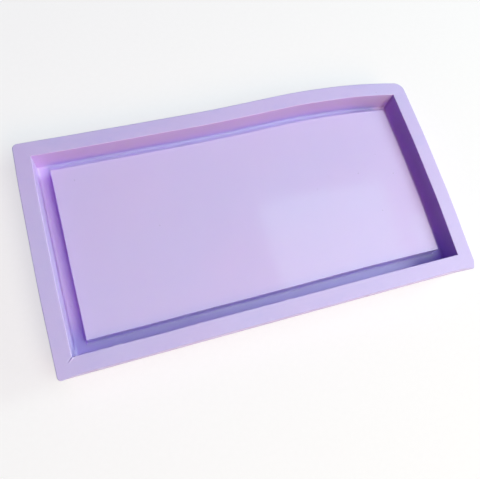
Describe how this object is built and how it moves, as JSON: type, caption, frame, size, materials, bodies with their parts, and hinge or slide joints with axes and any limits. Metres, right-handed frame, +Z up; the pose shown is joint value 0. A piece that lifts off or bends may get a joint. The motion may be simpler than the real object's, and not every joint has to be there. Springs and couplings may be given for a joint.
{
  "type": "silicone tray mould",
  "caption": "One-piece soft silicone casting mould, open on top: a rectangular cavity with a raised plateau and a channel round it, for a shallow tray or dish.",
  "frame": {"origin": "centre of the underside, which rests on the table at z = 0", "axes": "+X along the length, +Y across the width, +Z up out of the open side of the cavity"},
  "size_m": [0.216, 0.116, 0.018],
  "materials": {
    "silicone": "satin"
  },
  "bodies": {
    "root": {"mould": "silicone"}
  },
  "joints": []
}
